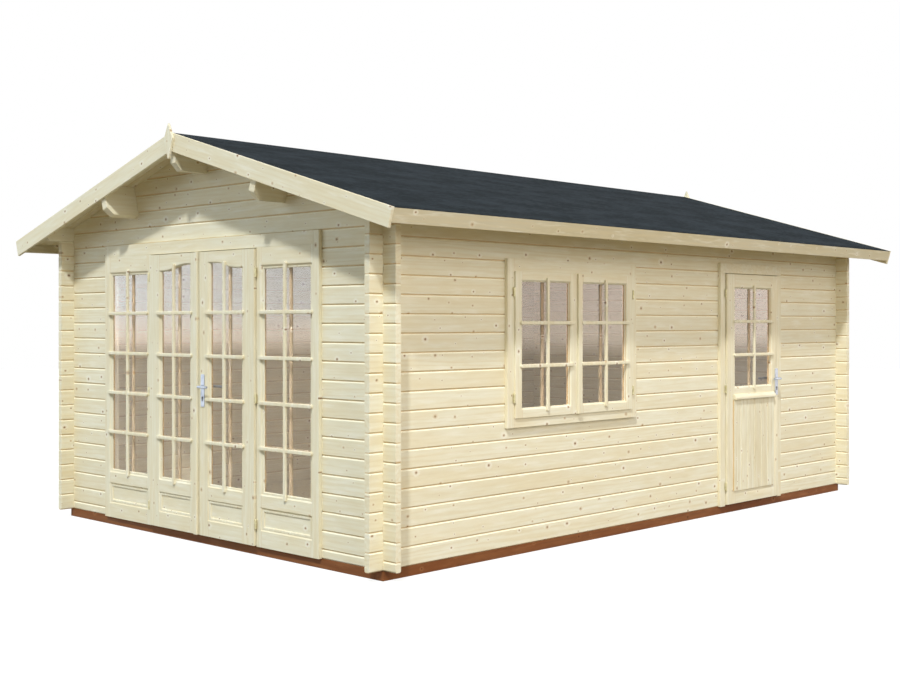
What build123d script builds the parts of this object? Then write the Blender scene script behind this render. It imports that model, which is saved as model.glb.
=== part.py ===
from build123d import *
import math
import os

os.makedirs("parts", exist_ok=True)

# Walls: squared logs laid in courses, crossing at the corners. Sizes in millimetres.
wall_width = 3550.0
wall_length = 5490.0
log_thickness = 44.0
log_height = 114.0
log_projection = 105.0
courses_over_openings = 1
groove_share = 0.17
notch_share = 0.25
half_course_share = 0.5

# Ground beams and floor.
beam_height = 60.0
beam_width = 70.0
joist_width = 45.0
joist_count = 8
floor_thickness = 19.0
floor_gap = 8.0

# Roof.
roof_pitch = 16.3
plate_height = 92.0
eaves_overhang = 363.0
gable_overhang = 249.0
deck_thickness = 18.0
felt_thickness = 4.0
fascia_thickness = 20.0
fascia_depth = 85.0
barge_thickness = 20.0
barge_depth = 118.0
ridge_gap = 2.0
purlin_width = 58.0
purlin_depth = 220.0
side_purlin_share = 0.423
end_cut_share = 0.23
finial_height = 236.0
finial_width = 100.0
finial_thickness = 18.0
finial_rise = 60.0
finial_shoulder_share = 0.57
finial_foot_share = 0.12

# Joinery shared by the doors and the window.
casing_overlap = 40.0
casing_proud = 26.0
casing_web = 12.0
inner_casing_thickness = 16.0
leaf_step = 16.0
leaf_thickness = 40.0
leaf_gap = 6.0
stop_width = 16.0
pane_thickness = 4.0
panel_thickness = 14.0
panel_recess = 14.0
rim_bevel = 8.0

# Front doors with a fixed light on each side.
front_unit_width = 2460.0
front_opening_courses = 17
front_head_depth = 84.0
front_leaf_share = 0.4927
post_width = 54.0
sidelight_stile = 25.0
sidelight_bevel = 12.0
meeting_gap = 8.0
meeting_stile = 103.0
hinge_stile = 127.0
top_rail = 118.0
middle_rail = 100.0
bottom_rail = 111.0
panel_depth = 126.0
arch_rise = 41.0
arch_flat_share = 0.14
meeting_strip_width = 40.0
meeting_strip_thickness = 18.0

# Side door, towards the back of the right wall.
side_door_place = 1245.0
side_door_width = 774.0
side_door_height = 1799.0
side_stile = 114.0
side_boards_stile = 84.0
side_top_rail = 108.0
side_bottom_rail = 100.0
side_boards_depth = 713.0
side_middle_rail = 100.0
side_head_depth = 40.0
boards_thickness = 26.0
boards_proud = 10.0
drip_depth = 44.0
drip_reach = 32.0
drip_slope_share = 0.45

# Double window in the right wall, forward of the middle.
window_forward = 1006.0
window_width = 1378.0
window_first_course = 7
window_courses = 9
window_bottom_lap = 40.0
window_top_lap = 18.0
sash_bottom_margin = 61.0
sash_top_margin = 82.0
sash_side_margin = 64.0
sash_stile = 68.0
sash_rail = 60.0
sash_step = 12.0
sash_gap = 2.0
sash_rest = 20.0
window_strip_width = 38.0
window_strip_thickness = 14.0

# Hinges: two knuckles on one axis, one carried by the frame and one by the leaf.
knuckle_radius = 8.0
knuckle_sides = 8
knuckle_length = 27.0
knuckle_gap = 1.0
knuckle_stand = 10.0
knuckle_reach = 12.0
flag_thickness = 5.0
flag_share = 0.8
front_hinge_shares = (0.073, 0.495, 0.92)
side_hinge_shares = (0.08, 0.5, 0.915)
window_hinge_shares = (0.14, 0.86)

# Lever handles: a long plate on each face of the leaf and two levers on one spindle.
plate_width = 38.0
plate_length = 217.0
plate_thickness = 6.0
plate_corner = 5.0
plate_over_spindle_share = 0.38
spindle_side = 8.0
spindle_bore = 15.0
lever_length = 115.0
lever_stand = 44.0
lever_radius = 9.0
lever_sides = 8
lever_bend = 16.0
lever_gap = 2.0
collar_radius = 13.0
collar_depth = 9.0
front_backset = 42.0
side_backset = 36.0
front_spindle_height = 1063.0
side_spindle_height = 1034.0
quarter_turn = 90.0

overrun = 20.0

# Heights. The walls are as many courses high as the tallest opening needs.
side_leaf_low = beam_height + leaf_gap + leaf_gap
side_leaf_high = side_leaf_low + side_door_height
side_head_low = side_leaf_high + leaf_gap
side_open_top = side_head_low + side_head_depth
side_casing_top = side_open_top + casing_overlap
side_door_courses = math.ceil((side_casing_top - beam_height) / log_height)
window_top_course = window_first_course + window_courses
tallest_opening = max(front_opening_courses, side_door_courses, window_top_course)
side_courses = tallest_opening + courses_over_openings
side_top = beam_height + side_courses * log_height
floor_top = beam_height + floor_thickness

half_width = wall_width / 2
half_length = wall_length / 2
inner_x = half_width - log_thickness
inner_y = half_length - log_thickness
slope = math.radians(roof_pitch)
rise = math.tan(slope)
ridge_height = side_top + plate_height + half_width * rise
quarter_log = log_height * notch_share
half_log = log_height * half_course_share
groove = log_thickness * groove_share
roof_half = half_width + eaves_overhang
roof_end = half_length + gable_overhang
cover = deck_thickness + felt_thickness
slope_length = (roof_half - cover * math.sin(slope)) / math.cos(slope)
window_place = -window_forward


def block(x0, x1, y0, y1, z0, z1):
    corner = (Align.MIN, Align.MIN, Align.MIN)
    return Pos(x0, y0, z0) * Box(x1 - x0, y1 - y0, z1 - z0, align=corner)


def prism(points, along, start, end):
    """An outline of two coordinates, drawn square to one axis and extruded along it."""
    reach = end - start
    if along == "x":
        outline = [Vector(start, a, b) for a, b in points]
        direction = Vector(reach, 0, 0)
    elif along == "y":
        outline = [Vector(a, start, b) for a, b in points]
        direction = Vector(0, reach, 0)
    else:
        outline = [Vector(a, b, start) for a, b in points]
        direction = Vector(0, 0, reach)
    face = Face(Wire.make_polygon(outline, close=True))
    return Solid.extrude(face, direction)


def rod(radius, start, end):
    line = Vector(*end) - Vector(*start)
    base = Plane(origin=start, z_dir=line)
    return Solid.make_cylinder(radius, line.length, base)


def flip(piece, plane):
    return mirror(piece, about=plane)


def pair(piece, plane):
    return [piece, flip(piece, plane)]


def bevel_rims(piece, front, size):
    """Bevel the rims of the holes in one flat face of a frame."""
    rims = []
    for wire in front.inner_wires():
        rims.extend(wire.edges())
    return piece.chamfer(size, None, rims)


def save(name, pieces):
    solids = []
    for piece in pieces:
        solids.extend(piece.solids())
    shape = solids[0] if len(solids) == 1 else Compound(children=solids)
    shape.label = name
    export_step(shape, os.path.join("parts", name + ".step"))
    print(name, len(solids))


def slope_point(along, up):
    """A point of the right-hand slope: distance down from the ridge, height over the boards' underside."""
    x = along * math.cos(slope) + up * math.sin(slope)
    z = ridge_height - along * math.sin(slope) + up * math.cos(slope)
    return x, z


def from_ridge(offset, up):
    """Where a plane upright beside the ridge cuts the slope at one height over the boards' underside."""
    return (offset - up * math.sin(slope)) / math.cos(slope)


# Ground beams, joists and floor.
beam_inner = half_width - beam_width
side_beam = block(beam_inner, half_width, -half_length, half_length, 0, beam_height)
save("foundation_side_beams", pair(side_beam, Plane.YZ))
end_beam = block(-beam_inner, beam_inner, half_length - beam_width, half_length, 0, beam_height)
save("foundation_end_beams", pair(end_beam, Plane.XZ))
joists = []
joist_pitch = (wall_length - beam_width - beam_width) / (joist_count + 1)
for number in range(joist_count):
    joist_low = -half_length + beam_width + (number + 1) * joist_pitch - joist_width / 2
    joists.append(block(-beam_inner, beam_inner, joist_low, joist_low + joist_width, 0, beam_height))
save("floor_joists", joists)
floor_x = inner_x - floor_gap
floor_y = inner_y - floor_gap
save("floor", [block(-floor_x, floor_x, -floor_y, floor_y, beam_height, floor_top)])

# Roof timbers, each standing square to the slope it carries.
end_cut = purlin_depth * end_cut_share


def cut_ends(piece, low, across):
    """Cut the lower corner off both ends of a timber that runs from front to back."""
    for sign in (1, -1):
        tip = sign * (roof_end + overrun)
        corner = [
            (tip, low - overrun),
            (tip, low + end_cut + overrun),
            (sign * roof_end, low + end_cut),
            (sign * (roof_end - end_cut), low),
            (sign * (roof_end - end_cut - overrun), low - overrun),
        ]
        piece = piece - prism(corner, "x", -across, across)
    return piece


purlin_half = purlin_width / 2
ridge_low = ridge_height - purlin_depth - purlin_half * rise
ridge_section = [
    (-purlin_half, ridge_low),
    (purlin_half, ridge_low),
    (purlin_half, ridge_height - purlin_half * rise),
    (0, ridge_height),
    (-purlin_half, ridge_height - purlin_half * rise),
]
ridge_block = prism(ridge_section, "y", -roof_end, roof_end)
save("ridge_purlin", [cut_ends(ridge_block, ridge_low, purlin_width)])

upright_section = [
    (-purlin_half, -purlin_depth),
    (purlin_half, -purlin_depth),
    (purlin_half, 0),
    (-purlin_half, 0),
]
upright_block = prism(upright_section, "y", -roof_end, roof_end)
purlin_x, purlin_z = slope_point(slope_length * side_purlin_share, 0)
purlin_seat = Pos(purlin_x, 0, purlin_z) * Rot(0, roof_pitch, 0)
side_purlin = purlin_seat * cut_ends(upright_block, -purlin_depth, purlin_width)
side_purlin_blocks = pair(purlin_seat * upright_block, Plane.YZ)
save("side_purlins", pair(side_purlin, Plane.YZ))

plate_section = [
    (inner_x + groove, side_top),
    (half_width - groove, side_top),
    (half_width, side_top + groove),
    (half_width, ridge_height - half_width * rise),
    (inner_x, ridge_height - inner_x * rise),
    (inner_x, side_top + groove),
]
wall_plate = cut_ends(prism(plate_section, "y", -roof_end, roof_end), side_top, roof_half)
through_in = inner_x - overrun
through_out = half_width + overrun
notch_low = side_top - overrun
notch_high = side_top + quarter_log
for near, far in ((-half_length, -inner_y), (inner_y, half_length)):
    wall_plate = wall_plate - block(through_in, through_out, near, far, notch_low, notch_high)
save("wall_plates", pair(wall_plate, Plane.YZ))

# Openings through the logs.
front_top = beam_height + half_log + front_opening_courses * log_height
front_open = front_unit_width / 2 - casing_overlap
front_hole = block(
    -front_open,
    front_open,
    -half_length - overrun,
    -inner_y + overrun,
    beam_height - overrun,
    front_top,
)
window_low = beam_height + window_first_course * log_height
window_high = window_low + window_courses * log_height
window_half = window_width / 2
window_open = window_half - casing_overlap
window_y0 = window_place - window_open
window_y1 = window_place + window_open
window_hole = block(through_in, through_out, window_y0, window_y1, window_low, window_high)
side_open = side_door_width / 2 + leaf_gap + casing_web + casing_web
side_open_y0 = side_door_place - side_open
side_open_y1 = side_door_place + side_open
door_hole = block(through_in, through_out, side_open_y0, side_open_y1, beam_height - overrun, side_open_top)

# Log walls. Side courses start with a whole log and gable courses with a half log, so that each
# log drops into the notches of the two it crosses.


def log_section(outer, inner, low, high):
    left = min(outer, inner)
    right = max(outer, inner)
    return [
        (left + groove, low),
        (right - groove, low),
        (right, low + groove),
        (right, high - groove),
        (right - groove, high),
        (left + groove, high),
        (left, high - groove),
        (left, low + groove),
    ]


def side_log(sign, low):
    high = low + log_height
    end = half_length + log_projection
    piece = prism(log_section(sign * half_width, sign * inner_x, low, high), "y", -end, end)
    reach = half_width + overrun
    for near, far in ((-half_length, -inner_y), (inner_y, half_length)):
        piece = piece - block(-reach, reach, near, far, low - overrun, low + quarter_log)
        piece = piece - block(-reach, reach, near, far, high - quarter_log, high + overrun)
    return piece


def gable_log(sign, low, high):
    crossing = low < side_top
    end = half_width + log_projection if crossing else inner_x
    piece = prism(log_section(sign * half_length, sign * inner_y, low, high), "x", -end, end)
    reach = half_length + overrun
    if crossing:
        for near, far in ((-half_width, -inner_x), (inner_x, half_width)):
            piece = piece - block(near, far, -reach, reach, high - quarter_log, high + overrun)
            if low > beam_height:
                piece = piece - block(near, far, -reach, reach, low - overrun, low + quarter_log)
    return piece


side_logs_odd = []
side_logs_even = []
for course in range(side_courses):
    course_low = beam_height + course * log_height
    group = side_logs_even if course % 2 else side_logs_odd
    group.append(side_log(-1, course_low))
    group.append(side_log(1, course_low) - window_hole - door_hole)
save("side_wall_logs_odd", side_logs_odd)
save("side_wall_logs_even", side_logs_even)

far_x = roof_half + overrun
over_roof_section = [
    (-far_x, ridge_height - far_x * rise),
    (0, ridge_height),
    (far_x, ridge_height - far_x * rise),
    (far_x, ridge_height + overrun),
    (-far_x, ridge_height + overrun),
]
over_roof = prism(over_roof_section, "y", -roof_end, roof_end)
gable_logs_odd = []
gable_logs_even = []
course = 0
course_low = beam_height
course_high = beam_height + half_log
while course_low < ridge_height - purlin_half:
    group = gable_logs_even if course % 2 else gable_logs_odd
    for sign in (-1, 1):
        piece = gable_log(sign, course_low, course_high)
        if sign < 0:
            piece = piece - front_hole
        if course_high > side_top:
            piece = piece - over_roof - ridge_block - side_purlin_blocks
        group.append(piece)
    course = course + 1
    course_low = course_high
    course_high = course_low + log_height
save("gable_wall_logs_odd", gable_logs_odd)
save("gable_wall_logs_even", gable_logs_even)

# Roof boards, felt, eaves fascias, barge boards and finials.


def slope_board(start_gap, end, low, high, y0, y1):
    """A board or sheet on the right-hand slope, cut upright beside the ridge."""
    outline = [
        slope_point(from_ridge(start_gap, low), low),
        slope_point(end, low),
        slope_point(end, high),
        slope_point(from_ridge(start_gap, high), high),
    ]
    return prism(outline, "y", y0, y1)


deck_end = slope_length - fascia_thickness
deck = slope_board(ridge_gap, deck_end, 0, deck_thickness, -roof_end, roof_end)
save("roof_boards", pair(deck, Plane.YZ))
felt = slope_board(0, slope_length, deck_thickness, cover, -roof_end, roof_end)
save("right_roof_felt", [felt])
save("left_roof_felt", [flip(felt, Plane.YZ)])
fascia_low = deck_thickness - fascia_depth
fascia_section = [
    slope_point(deck_end, fascia_low),
    slope_point(slope_length, fascia_low),
    slope_point(slope_length, deck_thickness),
    slope_point(deck_end, deck_thickness),
]
save("eaves_fascias", pair(prism(fascia_section, "y", -roof_end, roof_end), Plane.YZ))
barge_face = roof_end + barge_thickness
barge_front = slope_board(ridge_gap, slope_length, cover - barge_depth, cover, -barge_face, -roof_end)
barge_back = flip(barge_front, Plane.XZ)
save("barge_boards", pair(barge_front, Plane.YZ) + pair(barge_back, Plane.YZ))
roof_top = ridge_height + cover / math.cos(slope)
finial_tip = roof_top + finial_rise
finial_foot = finial_tip - finial_height
shoulder = finial_foot + finial_height * finial_shoulder_share
finial_half = finial_width / 2
foot_half = finial_half * finial_foot_share
finial_outline = [
    (0, finial_tip),
    (-finial_half, shoulder),
    (-foot_half, finial_foot),
    (foot_half, finial_foot),
    (finial_half, shoulder),
]
finial = prism(finial_outline, "y", barge_face, barge_face + finial_thickness)
save("gable_finials", pair(finial, Plane.XZ))

# Frames of the doors. Their outer faces stand forward of the logs.
face_y = -half_length - casing_proud
leaf_face = face_y - leaf_step
leaf_back = leaf_face + leaf_thickness
stop_face = leaf_back + leaf_gap
front_half = front_unit_width / 2
front_web = front_open - casing_web
front_jamb_outline = [
    (front_web, face_y),
    (front_half, face_y),
    (front_half, -half_length),
    (front_open, -half_length),
    (front_open, -inner_y),
    (front_web, -inner_y),
]
front_jamb = prism(front_jamb_outline, "z", beam_height, front_top)
side_frame_face = half_width + casing_proud
side_leaf_face = side_frame_face + leaf_step
side_leaf_back = side_leaf_face - leaf_thickness
side_stop_face = side_leaf_back - leaf_gap
side_leaf_half = side_door_width / 2
side_clear = side_leaf_half + leaf_gap
side_stop = side_clear - stop_width
side_casing = side_open + casing_overlap
side_jamb_outline = [
    (side_frame_face, side_clear),
    (side_frame_face, side_casing),
    (half_width, side_casing),
    (half_width, side_open),
    (inner_x, side_open),
    (inner_x, side_stop),
    (side_stop_face, side_stop),
    (side_stop_face, side_clear),
]
side_jamb = prism(side_jamb_outline, "z", beam_height, side_head_low)
to_side_door = Pos(0, side_door_place, 0)
side_jambs = [to_side_door * piece for piece in pair(side_jamb, Plane.XZ)]
save("door_jambs", pair(front_jamb, Plane.YZ) + side_jambs)

front_head_low = front_top - front_head_depth
front_stop_low = front_head_low - stop_width
leaf_hinge_edge = front_half * front_leaf_share
post_edge = leaf_hinge_edge + leaf_gap
front_head = block(-front_web, front_web, face_y, -inner_y, front_head_low, front_top)
front_head = front_head + block(-post_edge, post_edge, stop_face, -inner_y, front_stop_low, front_head_low)
side_stop_low = side_head_low - stop_width
side_head = block(half_width, side_frame_face, -side_casing, side_casing, side_head_low, side_casing_top)
side_head = side_head + block(inner_x, half_width, -side_open, side_open, side_head_low, side_open_top)
side_head = side_head + block(inner_x, side_stop_face, -side_stop, side_stop, side_stop_low, side_head_low)
save("door_heads", [front_head, to_side_door * side_head])
front_sill = block(-post_edge, post_edge, stop_face, -inner_y, beam_height, floor_top)
side_sill = block(inner_x, side_stop_face, -side_stop, side_stop, beam_height, floor_top)
save("door_sills", [front_sill, to_side_door * side_sill])

# Fixed lights beside the front doors.
leaf_low = beam_height + leaf_gap
leaf_high = front_head_low - leaf_gap
panel_low = leaf_low + bottom_rail
panel_high = panel_low + panel_depth
glass_low = panel_high + middle_rail
glass_high = leaf_high - top_rail
light_in = post_edge + post_width
light_out = front_web - sidelight_stile
light_back = face_y + leaf_thickness
light_cut = face_y - overrun
light_end = light_back + overrun
pane_depth = (leaf_thickness - pane_thickness) / 2


def flat_panel(x0, x1, face):
    """A board set back in the lower opening of a leaf or of a fixed light."""
    front = face + panel_recess
    return block(x0, x1, front, front + panel_thickness, panel_low, panel_high)


light = block(post_edge, front_web, face_y, light_back, beam_height, front_head_low)
light = light - block(light_in, light_out, light_cut, light_end, glass_low, glass_high)
light = light - block(light_in, light_out, light_cut, light_end, panel_low, panel_high)
light = bevel_rims(light, light.faces().sort_by(Axis.Y)[0], sidelight_bevel)
light = light + block(post_edge - stop_width, post_edge, stop_face, light_back, floor_top, front_stop_low)
save("sidelight_frames", pair(light, Plane.YZ))
save("sidelight_panels", pair(flat_panel(light_in, light_out, face_y), Plane.YZ))
light_pane_y = face_y + pane_depth
light_pane_back = light_pane_y + pane_thickness
light_pane = block(light_in, light_out, light_pane_y, light_pane_back, glass_low, glass_high)

# Front door leaves, the right-hand one built first. The top rail is cut to an ogee that rises
# to the meeting stile.
leaf_meeting_edge = meeting_gap / 2
glass_in = leaf_meeting_edge + meeting_stile
glass_out = leaf_hinge_edge - hinge_stile
arch_flat = (glass_out - glass_in) * arch_flat_share
arch_top = glass_high + arch_rise
arch_middle = (glass_in + glass_out) / 2
arch_half = arch_middle - glass_in - arch_flat
arch_radius = (arch_half**2 + (arch_rise / 2) ** 2) / arch_rise
arch_sweep = math.asin(arch_half / arch_radius) / 2


def arched_opening(y0, y1):
    """The glazed opening of a leaf, its head made of two arcs that meet in the middle."""
    bend = arch_radius * math.sin(arch_sweep)
    drop = arch_radius - arch_radius * math.cos(arch_sweep)
    low_in = Vector(glass_in, y0, glass_low)
    low_out = Vector(glass_out, y0, glass_low)
    high_out = Vector(glass_out, y0, glass_high)
    low_flat = Vector(glass_out - arch_flat, y0, glass_high)
    low_bend = Vector(glass_out - arch_flat - bend, y0, glass_high + drop)
    middle = Vector(arch_middle, y0, (glass_high + arch_top) / 2)
    high_bend = Vector(glass_in + arch_flat + bend, y0, arch_top - drop)
    high_flat = Vector(glass_in + arch_flat, y0, arch_top)
    high_in = Vector(glass_in, y0, arch_top)
    edges = [
        Edge.make_line(low_in, low_out),
        Edge.make_line(low_out, high_out),
        Edge.make_line(high_out, low_flat),
        Edge.make_three_point_arc(low_flat, low_bend, middle),
        Edge.make_three_point_arc(middle, high_bend, high_flat),
        Edge.make_line(high_flat, high_in),
        Edge.make_line(high_in, low_in),
    ]
    return Solid.extrude(Face(Wire(edges)), Vector(0, y1 - y0, 0))


leaf_cut = leaf_face - overrun
leaf_end = leaf_back + overrun
right_leaf = block(leaf_meeting_edge, leaf_hinge_edge, leaf_face, leaf_back, leaf_low, leaf_high)
right_leaf = right_leaf - arched_opening(leaf_cut, leaf_end)
right_leaf = right_leaf - block(glass_in, glass_out, leaf_cut, leaf_end, panel_low, panel_high)
right_leaf = bevel_rims(right_leaf, right_leaf.faces().sort_by(Axis.Y)[0], rim_bevel)
front_spindle_x = leaf_meeting_edge + front_backset
bore_radius = spindle_bore / 2
bore_start = (front_spindle_x, leaf_cut, front_spindle_height)
bore_end = (front_spindle_x, leaf_end, front_spindle_height)
save("front_right_door_leaf", [right_leaf - rod(bore_radius, bore_start, bore_end)])
save("front_left_door_leaf", [flip(right_leaf, Plane.YZ)])
right_panel = flat_panel(glass_in, glass_out, leaf_face)
save("front_right_door_panel", [right_panel])
save("front_left_door_panel", [flip(right_panel, Plane.YZ)])
door_pane_y = leaf_face + pane_depth
right_pane = arched_opening(door_pane_y, door_pane_y + pane_thickness)
save("front_right_door_pane", [right_pane])
save("front_left_door_pane", [flip(right_pane, Plane.YZ)])
strip_edge = -leaf_meeting_edge - meeting_strip_width
strip_face = leaf_face - meeting_strip_thickness
strip = block(strip_edge, -leaf_meeting_edge, strip_face, leaf_face, leaf_low, leaf_high)
save("front_left_meeting_strip", [strip])

# Double window: casing and lining in one frame, two sashes and a strip over their joint. It is
# modelled about its own middle and then set in its place.
to_window = Pos(0, window_place, 0)
frame_low = window_low - window_bottom_lap
frame_high = window_high + window_top_lap
sash_low = frame_low + sash_bottom_margin
sash_high = frame_high - sash_top_margin
sash_half = window_half - sash_side_margin
sash_face = side_frame_face + sash_step
sash_back = sash_face - leaf_thickness
light_half = sash_half - sash_rest
light_low = sash_low + sash_rest
light_high = sash_high - sash_rest
frame_cut = side_frame_face + overrun
window_frame = block(half_width, side_frame_face, -window_half, window_half, frame_low, frame_high)
window_frame = window_frame + block(inner_x, half_width, -window_open, window_open, window_low, window_high)
window_frame = window_frame - block(sash_back, frame_cut, -sash_half, sash_half, sash_low, sash_high)
window_frame = window_frame - block(through_in, sash_back, -light_half, light_half, light_low, light_high)
save("window_frame", [to_window * window_frame])
sash_in = sash_gap / 2
sash_glass_in = sash_in + sash_stile
sash_glass_out = sash_half - sash_stile
sash_glass_low = sash_low + sash_rail
sash_glass_high = sash_high - sash_rail


def sash_light(x0, x1):
    return block(x0, x1, sash_glass_in, sash_glass_out, sash_glass_low, sash_glass_high)


sash = block(sash_back, sash_face, sash_in, sash_half, sash_low, sash_high)
sash = sash - sash_light(sash_back - overrun, sash_face + overrun)
sash = bevel_rims(sash, sash.faces().sort_by(Axis.X)[-1], rim_bevel)
strip_end = sash_in + window_strip_width
window_strip = block(sash_face, sash_face + window_strip_thickness, sash_in, strip_end, sash_low, sash_high)
save("window_sashes", [to_window * (sash + window_strip), to_window * flip(sash, Plane.XZ)])
sash_pane_back = sash_back + pane_depth
sash_pane = sash_light(sash_pane_back, sash_pane_back + pane_thickness)
window_panes = [to_window * piece for piece in pair(sash_pane, Plane.XZ)]
save("fixed_panes", pair(light_pane, Plane.YZ) + window_panes)

# Inner casings round the front unit, the side door and the window.
inner_face_y = -inner_y + inner_casing_thickness
inner_face_x = inner_x - inner_casing_thickness
front_lining_top = front_top - casing_web
front_trim_top = front_top + casing_overlap
front_upright = block(front_web, front_half, -inner_y, inner_face_y, floor_top, front_lining_top)
front_across = block(-front_half, front_half, -inner_y, inner_face_y, front_lining_top, front_trim_top)
side_lining = side_open - casing_web
side_lining_top = side_open_top - casing_web
side_upright = block(inner_face_x, inner_x, side_lining, side_casing, floor_top, side_lining_top)
side_across = block(inner_face_x, inner_x, -side_casing, side_casing, side_lining_top, side_casing_top)
ring_low = window_low - casing_overlap
ring_high = window_high + casing_overlap
ring_open = window_open - casing_web
ring_cut = inner_face_x - overrun
window_ring = block(inner_face_x, inner_x, -window_half, window_half, ring_low, ring_high)
window_ring = window_ring - block(
    ring_cut,
    inner_x + overrun,
    -ring_open,
    ring_open,
    window_low + casing_web,
    window_high - casing_web,
)
side_uprights = [to_side_door * piece for piece in pair(side_upright, Plane.XZ)]
save("inner_casing_uprights", pair(front_upright, Plane.YZ) + side_uprights)
save("inner_casing_tops", [front_across, to_side_door * side_across, to_window * window_ring])

# Side door leaf: glass above, upright boards below, and a drip bar between them.
side_y0 = side_door_place - side_leaf_half
side_y1 = side_door_place + side_leaf_half
boards_low = side_leaf_low + side_bottom_rail
boards_high = boards_low + side_boards_depth
side_glass_low = boards_high + side_middle_rail
side_glass_high = side_leaf_high - side_top_rail
side_in0 = side_y0 + side_stile
side_in1 = side_y1 - side_stile
boards_y0 = side_y0 + side_boards_stile
boards_y1 = side_y1 - side_boards_stile
side_cut = side_leaf_back - overrun
side_end = side_leaf_face + overrun
side_leaf = block(side_leaf_back, side_leaf_face, side_y0, side_y1, side_leaf_low, side_leaf_high)
side_leaf = side_leaf - block(side_cut, side_end, side_in0, side_in1, side_glass_low, side_glass_high)
side_leaf = bevel_rims(side_leaf, side_leaf.faces().sort_by(Axis.X)[-1], rim_bevel)
side_leaf = side_leaf - block(side_cut, side_end, boards_y0, boards_y1, boards_low, boards_high)
side_spindle_y = side_y1 - side_backset
side_bore_start = (side_cut, side_spindle_y, side_spindle_height)
side_bore_end = (side_end, side_spindle_y, side_spindle_height)
save("side_door_leaf", [side_leaf - rod(bore_radius, side_bore_start, side_bore_end)])
boards_face = side_leaf_face + boards_proud
boards_back = boards_face - boards_thickness
save("side_door_boards", [block(boards_back, boards_face, boards_y0, boards_y1, boards_low, boards_high)])
side_pane_back = side_leaf_back + pane_depth
side_pane_front = side_pane_back + pane_thickness
side_pane = block(side_pane_back, side_pane_front, side_in0, side_in1, side_glass_low, side_glass_high)
save("side_door_pane", [side_pane])
drip_high = boards_high + drip_depth
drip_outline = [
    (side_leaf_face, boards_high),
    (side_leaf_face + drip_reach, boards_high),
    (side_leaf_face + drip_reach, boards_high + drip_depth * drip_slope_share),
    (side_leaf_face + drip_reach * drip_slope_share, drip_high),
    (side_leaf_face, drip_high),
]
save("side_door_drip_bar", [prism(drip_outline, "y", boards_y0, boards_y1)])

# Hinges. Each knuckle is a barrel with a flag that reaches back to the frame or to the leaf.
front_axis_x = leaf_hinge_edge + knuckle_reach
front_axis_y = face_y - knuckle_stand
side_axis_x = side_frame_face + knuckle_stand
side_axis_y = side_y0 - knuckle_reach
flag_height = knuckle_length * flag_share
flag_start = (knuckle_length - flag_height) / 2
flag_half = flag_thickness / 2


def knuckle(x, y, low, length):
    ring = Plane(origin=(x, y, low)) * RegularPolygon(knuckle_radius, knuckle_sides)
    return Solid.extrude(ring.face(), Vector(0, 0, length))


def hinge_half(x, y, low, x0, x1, y0, y1):
    """One knuckle and its flag; the flag's corners are given beside the axis."""
    flag_low = low + flag_start
    return knuckle(x, y, low, knuckle_length) + block(x0, x1, y0, y1, flag_low, flag_low + flag_height)


fixed_knuckles = []
right_knuckles = []
side_knuckles = []
front_flag = (front_axis_x - flag_half, front_axis_x + flag_half, front_axis_y, face_y)
leaf_flag = (leaf_hinge_edge, front_axis_x, front_axis_y - flag_half, front_axis_y + flag_half)
for share in front_hinge_shares:
    middle = leaf_low + (leaf_high - leaf_low) * share
    fixed = hinge_half(front_axis_x, front_axis_y, middle - knuckle_length - knuckle_gap, *front_flag)
    fixed_knuckles.extend(pair(fixed, Plane.YZ))
    right_knuckles.append(hinge_half(front_axis_x, front_axis_y, middle, *leaf_flag))
frame_flag = (side_frame_face, side_axis_x, side_axis_y - flag_half, side_axis_y + flag_half)
side_flag = (side_axis_x - flag_half, side_axis_x + flag_half, side_axis_y, side_y0)
for share in side_hinge_shares:
    middle = side_leaf_low + side_door_height * share
    fixed = hinge_half(side_axis_x, side_axis_y, middle - knuckle_length - knuckle_gap, *frame_flag)
    fixed_knuckles.append(fixed)
    side_knuckles.append(hinge_half(side_axis_x, side_axis_y, middle, *side_flag))
window_axis_y = sash_half + knuckle_reach
window_flag = (side_frame_face, side_axis_x, window_axis_y - flag_half, window_axis_y + flag_half)
for share in window_hinge_shares:
    middle = sash_low + (sash_high - sash_low) * share
    lower = hinge_half(side_axis_x, window_axis_y, middle - knuckle_length, *window_flag)
    whole = lower + knuckle(side_axis_x, window_axis_y, middle, knuckle_length)
    fixed_knuckles.extend(to_window * piece for piece in pair(whole, Plane.XZ))
save("frame_hinge_halves", fixed_knuckles)
save("front_right_hinge_halves", right_knuckles)
save("front_left_hinge_halves", [flip(piece, Plane.YZ) for piece in right_knuckles])
save("side_door_hinge_halves", side_knuckles)

# Lever handles, modelled at the origin with the spindle along X and the levers along -Y. The leaf's
# outer face is at zero.
plate_top = plate_length * plate_over_spindle_share
plate_out = plate_thickness + lever_gap


def handle_plate(back):
    """One plate with its corners cut off and the spindle's hole."""
    wide = plate_width / 2
    narrow = wide - plate_corner
    low = plate_top - plate_length
    outline = [
        (-narrow, low),
        (narrow, low),
        (wide, low + plate_corner),
        (wide, plate_top - plate_corner),
        (narrow, plate_top),
        (-narrow, plate_top),
        (-wide, plate_top - plate_corner),
        (-wide, low + plate_corner),
    ]
    hole_plane = Plane(origin=(back - overrun, 0, 0), z_dir=(1, 0, 0))
    hole_ring = hole_plane * RegularPolygon(bore_radius, knuckle_sides)
    hole_depth = plate_thickness + overrun + overrun
    hole = Solid.extrude(hole_ring.face(), Vector(hole_depth, 0, 0))
    return prism(outline, "x", back, back + plate_thickness) - hole


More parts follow.
